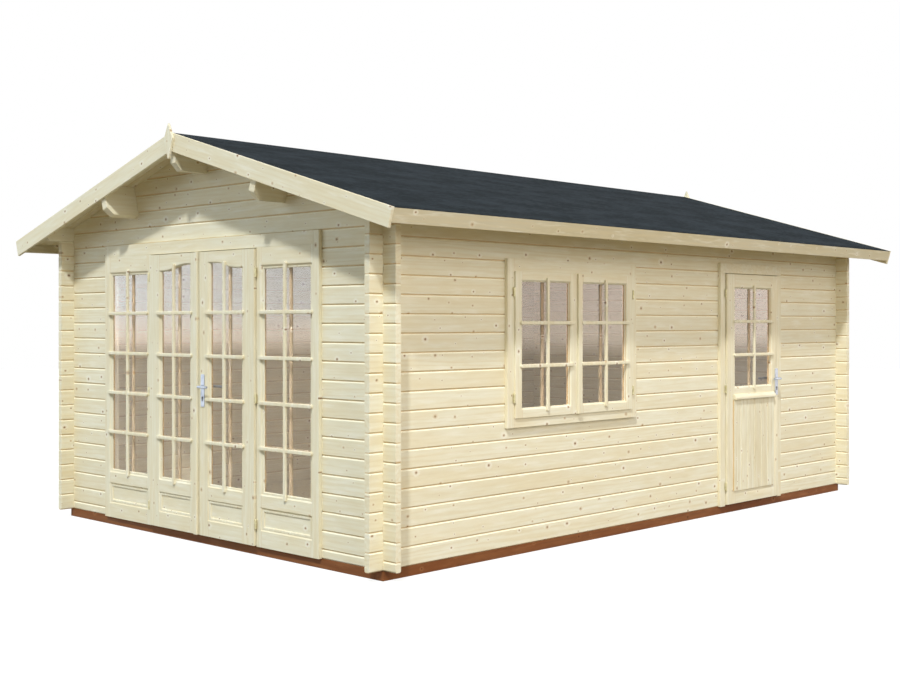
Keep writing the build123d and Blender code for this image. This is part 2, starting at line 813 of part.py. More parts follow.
def lever():
    """A bar that comes out of the plate, bends and runs along the leaf, with a collar at its foot."""
    reach = plate_out + lever_stand
    start = Vector(plate_out, 0, 0)
    bend_start = Vector(reach - lever_bend, 0, 0)
    bend_end = Vector(reach, -lever_bend, 0)
    tip = Vector(reach, -lever_length, 0)
    path = Polyline(start, bend_start, bend_end, tip)
    foot = Plane(origin=start, z_dir=(1, 0, 0))
    section = foot * RegularPolygon(lever_radius, lever_sides)
    bar = Solid.sweep(section.face(), path.wire(), transition=Transition.RIGHT)
    collar_ring = foot * RegularPolygon(collar_radius, knuckle_sides)
    collar = Solid.extrude(collar_ring.face(), Vector(collar_depth, 0, 0))
    return bar + collar


def lever_pair():
    """The outer lever, the inner one and the square spindle through the leaf between them."""
    outer = lever()
    inner = Pos(-leaf_thickness, 0, 0) * flip(outer, Plane.YZ)
    half = spindle_side / 2
    spindle = block(-leaf_thickness - plate_out, plate_out, -half, half, -half, half)
    return outer + spindle + inner


inner_plate = -leaf_thickness - plate_thickness
side_seat = Pos(side_leaf_face, side_spindle_y, side_spindle_height)
save("side_handle_plates", [side_seat * handle_plate(0), side_seat * handle_plate(inner_plate)])
save("side_lever_handles", [side_seat * lever_pair()])
front_seat = Pos(front_spindle_x, leaf_face, front_spindle_height) * Rot(0, 0, -quarter_turn)
save("front_handle_plates", [front_seat * handle_plate(0), front_seat * handle_plate(inner_plate)])
save("front_lever_handles", [front_seat * flip(lever_pair(), Plane.XZ)])
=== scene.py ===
import math

import bpy
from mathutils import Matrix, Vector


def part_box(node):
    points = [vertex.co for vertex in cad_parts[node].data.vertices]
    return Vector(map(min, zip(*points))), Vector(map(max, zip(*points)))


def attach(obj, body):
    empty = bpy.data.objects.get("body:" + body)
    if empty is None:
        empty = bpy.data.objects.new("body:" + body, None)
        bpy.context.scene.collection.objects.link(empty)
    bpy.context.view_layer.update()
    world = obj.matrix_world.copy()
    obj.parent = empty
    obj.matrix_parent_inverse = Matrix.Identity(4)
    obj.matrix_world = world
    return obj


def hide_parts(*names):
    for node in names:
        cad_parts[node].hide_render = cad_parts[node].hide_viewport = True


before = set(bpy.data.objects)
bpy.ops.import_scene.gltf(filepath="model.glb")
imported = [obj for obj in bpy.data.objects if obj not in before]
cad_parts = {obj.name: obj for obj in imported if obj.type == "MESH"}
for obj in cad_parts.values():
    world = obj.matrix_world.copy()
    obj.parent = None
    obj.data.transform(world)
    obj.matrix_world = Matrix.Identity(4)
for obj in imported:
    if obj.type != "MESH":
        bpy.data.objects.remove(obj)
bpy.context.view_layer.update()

# Ground beams: square timbers of pressure-treated softwood, laid flat under the four walls.
# They are brown from the treatment, with darker knots, and the first logs are nailed to them.
treated_tones = {
    "light": (140, 90, 54),
    "late": (104, 61, 33),
    "warm": (126, 74, 41),
    "knot": (58, 33, 20),
    "rim": (96, 56, 32),
    "halo": (158, 106, 66),
    "gap_and_shade": (60, 38, 22),
}
weld_reach = 0.00002
flat_angle = math.radians(1)
sharp_angle = math.radians(25)
beam_arris = 0.003
joist_arris = 0.002


def hue(red, green, blue):
    """A colour as a screen shows it, 0 to 255, turned by the screen's curve into the linear value
    that shaders take."""
    linear = []
    for part in (red, green, blue):
        share = part / 255
        linear.append(share / 12.92 if share <= 0.04045 else ((share + 0.055) / 1.055) ** 2.4)
    return (*linear, 1.0)


def add(tree, kind, feeds=None, **settings):
    """A shader node with its settings; feeds go into its inputs by name or number."""
    made = tree.nodes.new(kind)
    for key, value in settings.items():
        setattr(made, key, value)
    for key, value in (feeds or {}).items():
        if isinstance(value, bpy.types.NodeSocket):
            tree.links.new(value, made.inputs[key])
        else:
            made.inputs[key].default_value = value
    return made


def calc(tree, operation, *values):
    """The result of a sum on numbers or sockets."""
    return add(tree, "ShaderNodeMath", dict(enumerate(values)), operation=operation).outputs[0]


def choose(tree, share, first, second):
    """A number between two others."""
    feeds = {0: share, 2: first, 3: second}
    return add(tree, "ShaderNodeMix", feeds, data_type="FLOAT").outputs[0]


def tint(tree, share, first, second):
    """A colour between two others."""
    feeds = {0: share, 6: first, 7: second}
    return add(tree, "ShaderNodeMix", feeds, data_type="RGBA").outputs[2]


def stain(tree, colour, tone, mask, share):
    """A colour with a share of a tone laid over it where a mask shows."""
    return tint(tree, calc(tree, "MULTIPLY", mask, share), colour, hue(*tone))


def ease(tree, value, start, end):
    """A smooth step from 0 to 1."""
    feeds = {"Value": value, "From Min": start, "From Max": end}
    return add(tree, "ShaderNodeMapRange", feeds, interpolation_type="SMOOTHSTEP").outputs[0]


def fade(tree, value, start, end):
    """A smooth step from 1 to 0."""
    return calc(tree, "SUBTRACT", 1.0, ease(tree, value, start, end))


def point(tree, x, y, z):
    """A place put together from its three axes."""
    return add(tree, "ShaderNodeCombineXYZ", {"X": x, "Y": y, "Z": z}).outputs[0]


def drawn(tree, axes, factors):
    """A place whose axes are each scaled by their own factor."""
    return point(tree, *(calc(tree, "MULTIPLY", axis, factor) for axis, factor in zip(axes, factors)))


def cloud(tree, place, detail):
    """Soft noise from 0 to 1."""
    feeds = {"Vector": place, "Scale": 1.0, "Detail": detail, "Roughness": 0.55}
    return add(tree, "ShaderNodeTexNoise", feeds).outputs[0]


def new_finish(name, roughness, metallic=0.0, specular=0.5):
    """A new material with its node tree and its shader."""
    finish = bpy.data.materials.new(name)
    finish.use_nodes = True
    tree = finish.node_tree
    shader = tree.nodes["Principled BSDF"]
    shader.inputs["Roughness"].default_value = roughness
    shader.inputs["Metallic"].default_value = metallic
    shader.inputs["Specular IOR Level"].default_value = specular
    return finish, tree, shader


def timber(name, tones, run, across, deep, course=None, rails=None, pitch=None, bevel_highlight=0.0):
    """Planed softwood. Its grain runs along one axis, or down a slope on each side of the middle;
    course gives the first joint and the width of boards or logs laid side by side, rails the middle,
    inner and outer edge of cross rails, and the last argument the height of log bevels, where a
    painted highlight is laid on each top bevel and painted shade on each bottom bevel."""
    finish, tree, shader = new_finish(name, roughness=0.62, specular=0.12)
    place = add(tree, "ShaderNodeTexCoord").outputs["Object"]
    axes = add(tree, "ShaderNodeSeparateXYZ", {"Vector": place}).outputs
    along, over, depth = axes[run], axes[across], axes[deep]

    # Pieces: each board, log or rail has a number, which sets its tone and shifts its grain.
    rows_apart, longest_shift = 57.0, 37.0
    rails_to_metre, first_rail = 3.0, 5.0
    number = calc(tree, "GREATER_THAN", depth, 0.0)
    if pitch:
        fall, level = math.sin(pitch), math.cos(pitch)
        side = calc(tree, "GREATER_THAN", along, 0.0)
        number = calc(tree, "MULTIPLY_ADD", side, 2.0, number)
        out = calc(tree, "ABSOLUTE", along)
        along = calc(tree, "SUBTRACT", calc(tree, "MULTIPLY", out, level),
                     calc(tree, "MULTIPLY", over, fall))
        over = calc(tree, "ADD", calc(tree, "MULTIPLY", out, fall),
                    calc(tree, "MULTIPLY", over, level))
    joint = None
    if rails:
        middle, inner, outer = rails
        offset = calc(tree, "ABSOLUTE", calc(tree, "SUBTRACT", over, middle))
        past_inner = calc(tree, "SUBTRACT", offset, inner)
        past_outer = calc(tree, "SUBTRACT", offset, outer)
        is_rail = calc(tree, "MULTIPLY", calc(tree, "GREATER_THAN", past_inner, 0.0),
                       calc(tree, "LESS_THAN", past_outer, 0.0))
        joint = calc(tree, "MINIMUM", calc(tree, "ABSOLUTE", past_inner),
                     calc(tree, "ABSOLUTE", past_outer))
        side = calc(tree, "GREATER_THAN", over, middle)
        storey = calc(tree, "FLOOR", calc(tree, "MULTIPLY", along, rails_to_metre))
        number = choose(tree, is_rail, side, calc(tree, "ADD", storey, first_rail))
        along, over = choose(tree, is_rail, along, over), choose(tree, is_rail, over, along)
    if course:
        first, width = course
        step = calc(tree, "DIVIDE", calc(tree, "SUBTRACT", over, first), width)
        row = calc(tree, "FLOOR", step)
        number = calc(tree, "ADD", row, calc(tree, "MULTIPLY", number, rows_apart))
        within = calc(tree, "FRACT", step)
        nearest = calc(tree, "MINIMUM", within, calc(tree, "SUBTRACT", 1.0, within))
        joint = calc(tree, "MULTIPLY", nearest, width)
    chance = add(tree, "ShaderNodeTexWhiteNoise", {"W": number}, noise_dimensions="1D").outputs
    hues = add(tree, "ShaderNodeSeparateColor", {"Color": chance["Color"]}).outputs
    along = calc(tree, "ADD", along, calc(tree, "MULTIPLY", chance["Value"], longest_shift))
    grain = (along, over, depth)

    # Knots: one to a cell, some cells without, each in a brown rim and a pale halo that turns the
    # grain aside. Their edges are uneven, and they are longer along the grain.
    cell_long, cell_wide, knot_stretch = 0.21, 0.078, 0.8
    least_knot, knot_growth, no_knot = 0.0027, 0.0065, 0.00001
    bare_share = 0.32
    ripple_scale, ripple_reach, ripple_least = 130.0, 1.2, 0.4
    faintest_knot, knot_depth = 0.3, 0.65
    cell_along = calc(tree, "DIVIDE", along, cell_long)
    cell_over = calc(tree, "DIVIDE", over, cell_wide)
    cells = add(tree, "ShaderNodeTexVoronoi",
                {"Vector": point(tree, cell_along, cell_over, 0.0), "Scale": 1.0, "Randomness": 1.0},
                voronoi_dimensions="2D").outputs
    heart = add(tree, "ShaderNodeSeparateXYZ", {"Vector": cells["Position"]}).outputs
    cell_luck = add(tree, "ShaderNodeSeparateColor", {"Color": cells["Color"]}).outputs
    off_along = calc(tree, "MULTIPLY", calc(tree, "SUBTRACT", cell_along, heart["X"]),
                     cell_long * knot_stretch)
    off_over = calc(tree, "MULTIPLY", calc(tree, "SUBTRACT", cell_over, heart["Y"]), cell_wide)
    away = calc(tree, "SQRT", calc(tree, "ADD", calc(tree, "MULTIPLY", off_along, off_along),
                                   calc(tree, "MULTIPLY", off_over, off_over)))
    size = calc(tree, "POWER", cell_luck["Red"], 2.0)
    size = calc(tree, "MULTIPLY_ADD", size, knot_growth, least_knot)
    size = calc(tree, "MULTIPLY", size, calc(tree, "GREATER_THAN", cell_luck["Green"], bare_share))
    size = calc(tree, "ADD", size, no_knot)
    ratio = calc(tree, "DIVIDE", away, size)
    ripple = cloud(tree, drawn(tree, (along, over, 0.0), (ripple_scale, ripple_scale, 0.0)), 2.0)
    uneven = calc(tree, "MULTIPLY_ADD", ripple, ripple_reach, ripple_least)
    ratio = calc(tree, "MULTIPLY", ratio, uneven)
    knot_tone = calc(tree, "MULTIPLY_ADD", cell_luck["Blue"], knot_depth, faintest_knot)
    knot = calc(tree, "MULTIPLY", fade(tree, ratio, 0.3, 1.1), knot_tone)
    rim = fade(tree, ratio, 0.8, 2.1)
    halo = fade(tree, ratio, 1.2, 4.2)

    # Grain: growth rings drawn out along the piece, fine fibres between them, and slow changes of tone.
    ring_scale, ring_wander, halo_turn, ring_sharpness = 190.0, 26.0, 3.5, 2.5
    bulk = cloud(tree, drawn(tree, grain, (0.55, 9.0, 9.0)), 2.0)
    sweep = calc(tree, "MULTIPLY_ADD", bulk, ring_wander, calc(tree, "MULTIPLY", over, ring_scale))
    sweep = calc(tree, "MULTIPLY_ADD", halo, halo_turn, sweep)
    rings = calc(tree, "MULTIPLY_ADD", calc(tree, "SINE", sweep), 0.5, 0.5)
    rings = calc(tree, "POWER", rings, ring_sharpness)
    fibre = cloud(tree, drawn(tree, grain, (9.0, 700.0, 700.0)), 2.0)
    drift = cloud(tree, drawn(tree, grain, (1.3, 6.0, 6.0)), 3.0)
    mottle = cloud(tree, drawn(tree, grain, (4.5, 34.0, 34.0)), 3.0)

    # Colour: from the broadest change of tone to the knots, each laid over the last.
    fibre_share, board_share, pale_mottle, dark_mottle, rim_share = 0.2, 0.3, 0.4, 0.28, 0.5
    ring_share = calc(tree, "MULTIPLY_ADD", hues["Green"], 0.3, 0.14)
    pale_knot = calc(tree, "GREATER_THAN", cell_luck["Blue"], 0.6)
    halo_share = calc(tree, "MULTIPLY_ADD", pale_knot, 0.5, 0.2)
    colour = tint(tree, ease(tree, drift, 0.35, 0.7), hue(*tones["light"]), hue(*tones["warm"]))
    colour = stain(tree, colour, tones["late"], rings, ring_share)
    colour = stain(tree, colour, tones["late"], ease(tree, fibre, 0.5, 0.75), fibre_share)
    colour = stain(tree, colour, tones["late"], hues["Blue"], board_share)
    colour = stain(tree, colour, tones["halo"], ease(tree, mottle, 0.5, 0.74), pale_mottle)
    colour = stain(tree, colour, tones["late"], ease(tree, mottle, 0.5, 0.3), dark_mottle)
    colour = stain(tree, colour, tones["halo"], halo, halo_share)
    colour = stain(tree, colour, tones["rim"], rim, rim_share)
    colour = tint(tree, knot, colour, hue(*tones["knot"]))
    height = calc(tree, "MULTIPLY_ADD", rings, 0.5, calc(tree, "MULTIPLY", fibre, 0.5))

    # Joints: a darker line between pieces, partly the joint itself and partly painted shade in the
    # groove; on logs a painted highlight on the top bevel over painted shade on the bottom bevel.
    if joint:
        joint_width, joint_share = 0.0016 if course else 0.0007, 0.7
        gap_and_shade = fade(tree, joint, joint_width * 0.4, joint_width)
        colour = stain(tree, colour, tones["gap_and_shade"], gap_and_shade, joint_share)
        height = calc(tree, "SUBTRACT", height, gap_and_shade)
    # Painted highlight on the top bevel of each log, and painted shade on its bottom bevel.
    if bevel_highlight:
        highlight_share, shade_share = 0.85, 0.5
        low_edge = calc(tree, "MULTIPLY", within, width)
        high_edge = calc(tree, "SUBTRACT", width, low_edge)
        painted_highlight_mask = fade(tree, high_edge, bevel_highlight * 1.1, bevel_highlight * 1.6)
        painted_shade_mask = fade(tree, low_edge, bevel_highlight * 0.6, bevel_highlight * 1.05)
        colour = stain(tree, colour, tones["bevel_highlight"], painted_highlight_mask, highlight_share)
        colour = stain(tree, colour, tones["gap_and_shade"], painted_shade_mask, shade_share)
    relief = add(tree, "ShaderNodeBump", {"Strength": 0.3, "Distance": 0.0006, "Height": height})
    roughness = calc(tree, "MULTIPLY_ADD", rings, -0.08, 0.66)
    tree.links.new(colour, shader.inputs["Base Color"])
    tree.links.new(roughness, shader.inputs["Roughness"])
    tree.links.new(relief.outputs["Normal"], shader.inputs["Normal"])
    return finish


def dress(name, finish, arris=0.0, segments=2):
    """Give a CAD node its finish, and ease its sharp edges where an arris is given."""
    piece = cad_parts[name]
    piece.material_slots[0].material = finish
    if arris:
        weld = piece.modifiers.new("weld", "WELD")
        weld.merge_threshold = weld_reach
        flat = piece.modifiers.new("flat", "DECIMATE")
        flat.decimate_type = "DISSOLVE"
        flat.angle_limit = flat_angle
        round_off = piece.modifiers.new("arris", "BEVEL")
        round_off.width = arris
        round_off.segments = segments
        round_off.limit_method = "ANGLE"
        round_off.angle_limit = sharp_angle
    return piece


side_beam_finish = timber("treated beam lengthwise", treated_tones, "Y", "Z", "X")
end_beam_finish = timber("treated beam crosswise", treated_tones, "X", "Z", "Y")
joist_finish = timber("treated joist", treated_tones, "X", "Z", "Y")
dress("foundation_side_beams", side_beam_finish, beam_arris)
dress("foundation_end_beams", end_beam_finish, beam_arris)
dress("floor_joists", joist_finish, joist_arris)

# Floor: planed spruce boards, tongued and grooved, nailed across the joists from front to back.
# Each board has its upper edges eased, so the joints show as fine lines.
# Of these tones, the joint tone is also painted shade on the bottom bevel of each log, and the last one
# is a painted highlight on its top bevel.
spruce_tones = {
    "light": (241, 237, 216),
    "late": (225, 210, 173),
    "warm": (240, 231, 203),
    "knot": (112, 74, 44),
    "rim": (204, 170, 116),
    "halo": (251, 248, 235),
    "gap_and_shade": (204, 160, 90),
    "bevel_highlight": (255, 250, 226),
}
floor_board_count = 30
floor_bevel = 0.0012
board_gap = 0.0004
tiny = 1e-5


def settle():
    """Put the place, turn and size of the selected piece into its mesh."""
    bpy.ops.object.transform_apply(location=True, rotation=True, scale=True)


def take(*pieces):
    """Select pieces only, the first one active."""
    bpy.ops.object.select_all(action="DESELECT")
    for piece in pieces:
        piece.select_set(True)
    bpy.context.view_layer.objects.active = pieces[0]


def add_block(name, low, high):
    """A block between two corners, its place in its mesh."""
    bpy.ops.object.select_all(action="DESELECT")
    middle = [(a + b) / 2 for a, b in zip(low, high)]
    size = [b - a for a, b in zip(low, high)]
    bpy.ops.mesh.primitive_cube_add(size=1, location=middle, scale=size)
    piece = bpy.context.object
    piece.name = name
    settle()
    return piece


def pick_edges(piece, wanted):
    """Leave the piece in edit mode with the edges selected whose two ends pass a test."""
    bpy.ops.object.mode_set(mode="EDIT")
    bpy.ops.mesh.select_mode(type="EDGE")
    bpy.ops.mesh.select_all(action="DESELECT")
    bpy.ops.object.mode_set(mode="OBJECT")
    for edge in piece.data.edges:
        start, end = (piece.data.vertices[number].co for number in edge.vertices)
        edge.select = wanted(start, end)
    bpy.ops.object.mode_set(mode="EDIT")


def pick_faces(piece, wanted):
    """Leave the piece in edit mode with the faces selected that pass a test."""
    bpy.ops.object.mode_set(mode="EDIT")
    bpy.ops.mesh.select_mode(type="FACE")
    bpy.ops.mesh.select_all(action="DESELECT")
    bpy.ops.object.mode_set(mode="OBJECT")
    for face in piece.data.polygons:
        face.select = wanted(face)
    bpy.ops.object.mode_set(mode="EDIT")


def on_plane(axis, value, steady=None):
    """A test for edges that lie in a plane and, where an axis is given, keep to one place on it."""
    def test(start, end):
        flat = max(abs(start[axis] - value), abs(end[axis] - value)) < tiny
        return flat and (steady is None or abs(start[steady] - end[steady]) < tiny)
    return test


def bevel_edges(piece, wanted, width, segments=1):
    """Bevel the edges that pass a test."""
    pick_edges(piece, wanted)
    bpy.ops.mesh.bevel(offset=width, segments=segments, affect="EDGES")
    bpy.ops.object.mode_set(mode="OBJECT")


def in_row(piece, count, step):
    """Repeat a piece along a step."""
    row = piece.modifiers.new("array", "ARRAY")
    row.count = count
    row.use_relative_offset = False
    row.use_constant_offset = True
    row.constant_offset_displace = step
    take(piece)
    bpy.ops.object.modifier_apply(modifier=row.name)


def join(name, pieces):
    """Make one piece of several."""
    take(*pieces)
    if len(pieces) > 1:
        bpy.ops.object.join()
    pieces[0].name = name
    return pieces[0]


def hang(piece, finish, slot, body, *nodes):
    """Finish a new piece, set it on its body and hide the CAD nodes it stands for."""
    piece.data.materials.clear()
    piece.data.materials.append(finish)
    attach(piece, body)
    if nodes:
        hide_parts(*nodes)
    return piece


floor_low, floor_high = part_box("floor")
floor_board = (floor_high.x - floor_low.x) / floor_board_count
first_end = (floor_low.x + floor_board - board_gap, floor_high.y, floor_high.z)
boards = add_block("floor_boards", floor_low, first_end)
bevel_edges(boards, on_plane(2, floor_high.z, steady=0), floor_bevel)
in_row(boards, floor_board_count, (floor_board, 0, 0))
floor_finish = timber("spruce floor board", spruce_tones, "Y", "X", "Z", (floor_low.x, floor_board))
hang(boards, floor_finish, "spruce", "cabin", "floor")

# Walls: squared spruce logs with bevelled edges, laid dry in courses and notched over each other at
# the corners. Gable courses lie half a log higher than side courses.
log_height = 0.114
side_joint = 0.060
gable_joint = 0.003
log_bevel = 0.0075
log_arris = 0.0012
# The wall logs have a painted highlight on their top bevels and painted shade on their bottom bevels.
side_log_finish = timber("spruce log of the side walls", spruce_tones, "Y", "Z", "X",
                         (side_joint, log_height), bevel_highlight=log_bevel)
gable_log_finish = timber("spruce log of the gable walls", spruce_tones, "X", "Z", "Y",
                          (gable_joint, log_height), bevel_highlight=log_bevel)
for node in ("side_wall_logs_odd", "side_wall_logs_even"):
    dress(node, side_log_finish, log_arris, 1)
for node in ("gable_wall_logs_odd", "gable_wall_logs_even"):
    dress(node, gable_log_finish, log_arris, 1)

# Roof timbers: a ridge purlin, two side purlins and the top logs of the side walls, all spruce.
# They run through both gables to carry the overhang, with the lower corner of each end cut off.
purlin_arris = 0.003
purlin_finish = timber("spruce purlin", spruce_tones, "Y", "Z", "X")
for node in ("ridge_purlin", "side_purlins", "wall_plates"):
    dress(node, purlin_finish, purlin_arris)

# Roof boards: tongued and grooved spruce, nailed side by side down each slope from the ridge.
# Their lower edges are bevelled, which shows as grooves under the overhangs and from inside.
roof_board_count = 66
roof_pitch = math.radians(16.3)
board_bevel = 0.003
deck_thickness = 0.018
ridge_gap = 0.002
spare = 0.05
deck_tones = {**spruce_tones, "light": (234, 227, 200), "warm": (230, 218, 184)}
deck_low, deck_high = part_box("roof_boards")
roof_board = (deck_high.y - deck_low.y) / roof_board_count
eaves_reach = deck_high.x - deck_thickness * math.sin(roof_pitch)
board_run = eaves_reach / math.cos(roof_pitch)
ridge_under = (deck_high.z - deck_thickness / math.cos(roof_pitch)
               + ridge_gap * math.tan(roof_pitch))
board_end = (board_run, deck_low.y + roof_board - board_gap, deck_thickness)
right_boards = add_block("roof_boarding", (-spare, deck_low.y, 0), board_end)
bevel_edges(right_boards, on_plane(2, 0.0, steady=1), board_bevel)
bpy.ops.transform.rotate(value=-roof_pitch, orient_axis="Y", center_override=(0, 0, 0))
bpy.ops.transform.translate(value=(0, 0, ridge_under))
settle()
bpy.ops.object.mode_set(mode="EDIT")
bpy.ops.mesh.select_all(action="SELECT")
bpy.ops.mesh.bisect(plane_co=(ridge_gap, 0, 0), plane_no=(1, 0, 0), use_fill=True,
                    clear_inner=True)
bpy.ops.object.mode_set(mode="OBJECT")
in_row(right_boards, roof_board_count, (0, roof_board, 0))


def other_hand(piece):
    """A mirrored copy on the other side of the cabin's middle."""
    take(piece)
    bpy.ops.object.duplicate()
    twin = bpy.context.object
    bpy.ops.transform.resize(value=(-1, 1, 1), center_override=(0, 0, 0))
    settle()
    bpy.ops.object.mode_set(mode="EDIT")
    bpy.ops.mesh.select_all(action="SELECT")
    bpy.ops.mesh.normals_make_consistent(inside=False)
    bpy.ops.object.mode_set(mode="OBJECT")
    return twin


roof_boarding = join("roof_boarding", [right_boards, other_hand(right_boards)])
roof_board_finish = timber("spruce roof board", deck_tones, "X", "Y", "Z", (deck_low.y, roof_board))
hang(roof_boarding, roof_board_finish, "spruce", "cabin", "roof_boards")

# Roof covering: mineral felt, laid lengthwise on each slope and nailed at the edges.
# It is slate grey, with fine grit, short streaks and soft mottles that slant along its length.
felt_tones = {
    "dark": (26, 32, 36),
    "light": (42, 49, 55),
    "streak": (47, 54, 60),
    "grit": (60, 67, 72),
}
felt_arris = 0.001


def grown(tree, place, factor):
    """A place with all its axes scaled alike."""
    feeds = {0: place, 1: (factor, factor, factor)}
    return add(tree, "ShaderNodeVectorMath", feeds, operation="MULTIPLY").outputs[0]


def felt_finish():
    """Mineral felt: mottles whose edges are broken up by the streaks, under fine pale grit."""
    finish, tree, shader = new_finish("slate roofing felt", roughness=0.95, specular=0.02)
    grit_scale, streak_share, grit_share, break_up = 420.0, 0.5, 0.35, 0.6
    place = add(tree, "ShaderNodeTexCoord").outputs["Object"]
    axes = add(tree, "ShaderNodeSeparateXYZ", {"Vector": place}).outputs
    down, length = axes["X"], axes["Y"]
    streak = cloud(tree, drawn(tree, (down, length, 0.0), (60.0, 16.0, 0.0)), 4.0)
    slant = calc(tree, "MULTIPLY_ADD", length, 0.3, calc(tree, "MULTIPLY", down, 5.5))
    patch = cloud(tree, drawn(tree, (slant, length, 0.0), (1.0, 2.2, 0.0)), 4.0)
    patch = calc(tree, "MULTIPLY_ADD", calc(tree, "SUBTRACT", streak, 0.5), break_up, patch)
    grit = cloud(tree, grown(tree, place, grit_scale), 2.0)
    colour = tint(tree, ease(tree, patch, 0.3, 0.72), hue(*felt_tones["dark"]),
                  hue(*felt_tones["light"]))
    colour = stain(tree, colour, felt_tones["streak"], ease(tree, streak, 0.45, 0.7), streak_share)
    colour = stain(tree, colour, felt_tones["grit"], ease(tree, grit, 0.55, 0.8), grit_share)
    relief = add(tree, "ShaderNodeBump", {"Strength": 0.6, "Distance": 0.0012, "Height": grit})
    tree.links.new(colour, shader.inputs["Base Color"])
    tree.links.new(relief.outputs["Normal"], shader.inputs["Normal"])
    return finish


slate_felt = felt_finish()
for node in ("right_roof_felt", "left_roof_felt"):
    dress(node, slate_felt, felt_arris, 1)

# Edge boards of the roof: planed spruce, a fascia along each eaves, barge boards up the gables and
# a pointed finial over each peak, nailed to the ends of the roof boards and purlins.
edge_board_arris = 0.002
finial_arris = 0.003
# The fascias take darker spruce tones, which are painted shade that makes them render darker than the
# walls.
fascia_shade_tones = {**spruce_tones, "light": (214, 206, 181), "warm": (207, 195, 161)}
fascia_shaded_finish = timber("spruce fascia with painted shade", fascia_shade_tones, "Y", "Z", "X")
barge_finish = timber("spruce barge board", spruce_tones, "X", "Z", "Y", pitch=roof_pitch)
finial_finish = timber("spruce finial", spruce_tones, "Z", "X", "Y")
dress("eaves_fascias", fascia_shaded_finish, edge_board_arris)
dress("barge_boards", barge_finish, edge_board_arris)
dress("gable_finials", finial_finish, finial_arris)

# Door frames: rebated spruce jambs, heads and sills that slot over the cut logs.
# Their casings stand forward of the logs and hide the cut ends.
casing_arris = 0.002
upright_finish = timber("spruce upright", spruce_tones, "Z", "X", "Y")
side_upright_finish = timber("spruce upright of the right wall", spruce_tones, "Z", "Y", "X")
cross_finish = timber("spruce cross piece", spruce_tones, "X", "Z", "Y")
dress("door_jambs", upright_finish, casing_arris)
dress("door_heads", cross_finish, casing_arris)
dress("door_sills", cross_finish, casing_arris)

# Sidelights: a fixed spruce frame on each side of the front doors, with a panel below the glass.
# A planed bead holds the glass and the panel in their bevelled openings.
cabin_middle = 0.0
sidelight_glass = (0.666, 1.153)
light_top = 1.847
leaf_arris = 0.0015
bead_width = 0.013
bead_depth = 0.010
bead_round_share = 0.7
panel_bead_width = 0.016
panel_bead_depth = 0.008
glass_tone = (240, 234, 230)
glass_ior = 1.46
glass_wave_scale = 2.2
sidelight_finish = timber("spruce sidelight frame", spruce_tones, "Z", "X", "Y",
                          rails=(cabin_middle, *sidelight_glass))
panel_finish = timber("spruce panel", spruce_tones, "X", "Z", "Y")
dress("sidelight_frames", sidelight_finish, leaf_arris)
dress("sidelight_panels", panel_finish)


def glass_finish():
    """Clear glass with a faint wave in its face."""
    finish, tree, shader = new_finish("window glass", roughness=0.0)
    shader.inputs["Base Color"].default_value = hue(*glass_tone)
    shader.inputs["Transmission Weight"].default_value = 1.0
    shader.inputs["IOR"].default_value = glass_ior
    place = add(tree, "ShaderNodeTexCoord").outputs["Object"]
    wave = cloud(tree, grown(tree, place, glass_wave_scale), 1.0)
    relief = add(tree, "ShaderNodeBump", {"Strength": 0.05, "Distance": 0.001, "Height": wave})
    tree.links.new(relief.outputs["Normal"], shader.inputs["Normal"])
    return finish


def bead_ring(name, axis, face, sign, opening, width, depth):
    """A planed bead round an opening, mitred at its corners and rounded on its inner edge."""
    u0, u1, z0, z1 = opening
    middle = ((face, (u0 + u1) / 2) if axis == 0 else ((u0 + u1) / 2, face)) + ((z0 + z1) / 2,)
    turn = (math.radians(90), 0, math.radians(90) if axis == 0 else 0)
    bpy.ops.object.select_all(action="DESELECT")
    bpy.ops.mesh.primitive_plane_add(size=1, location=middle, rotation=turn)
    piece = bpy.context.object
    piece.name = name
    piece.scale = (u1 - u0, z1 - z0, 1)
    settle()
    bpy.ops.object.mode_set(mode="EDIT")
    bpy.ops.mesh.select_all(action="SELECT")
    bpy.ops.mesh.inset(thickness=width)
    bpy.ops.mesh.delete(type="FACE")
    bpy.ops.mesh.select_all(action="SELECT")
    reach = [0, 0, 0]
    reach[axis] = sign * depth
    bpy.ops.mesh.extrude_region_move(TRANSFORM_OT_translate={"value": reach})
    bpy.ops.mesh.select_all(action="SELECT")
    bpy.ops.mesh.normals_make_consistent(inside=False)
    bpy.ops.object.mode_set(mode="OBJECT")
    in_front = on_plane(axis, face + sign * depth)

    def inner_front(start, end):
        inside = all(u0 + tiny < corner[1 - axis] < u1 - tiny for corner in (start, end))
        return inside and in_front(start, end)

    bevel_edges(piece, inner_front, min(width, depth) * bead_round_share, 3)
    return piece


def front_beads(name, glass_face, around_glass, panel_face, around_panel):
    """The beads of one glazed and panelled frame in the front wall."""
    return [
        bead_ring(name, 1, glass_face, -1, around_glass, bead_width, bead_depth),
        bead_ring(name, 1, panel_face, -1, around_panel, panel_bead_width, panel_bead_depth),
    ]


pane_low, pane_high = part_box("fixed_panes")
panel_low, panel_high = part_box("sidelight_panels")
beads = []
for sign in (1, -1):
    span = sorted((sign * sidelight_glass[0], sign * sidelight_glass[1]))
    around_glass = (*span, pane_low.z, light_top)
    around_panel = (*span, panel_low.z, panel_high.z)
    beads += front_beads("sidelight_beads", pane_low.y, around_glass, panel_low.y, around_panel)
hang(join("sidelight_beads", beads), upright_finish, "spruce", "cabin")

clear_glass = glass_finish()
for node in ("fixed_panes", "front_right_door_pane", "front_left_door_pane", "side_door_pane"):
    dress(node, clear_glass).visible_shadow = False

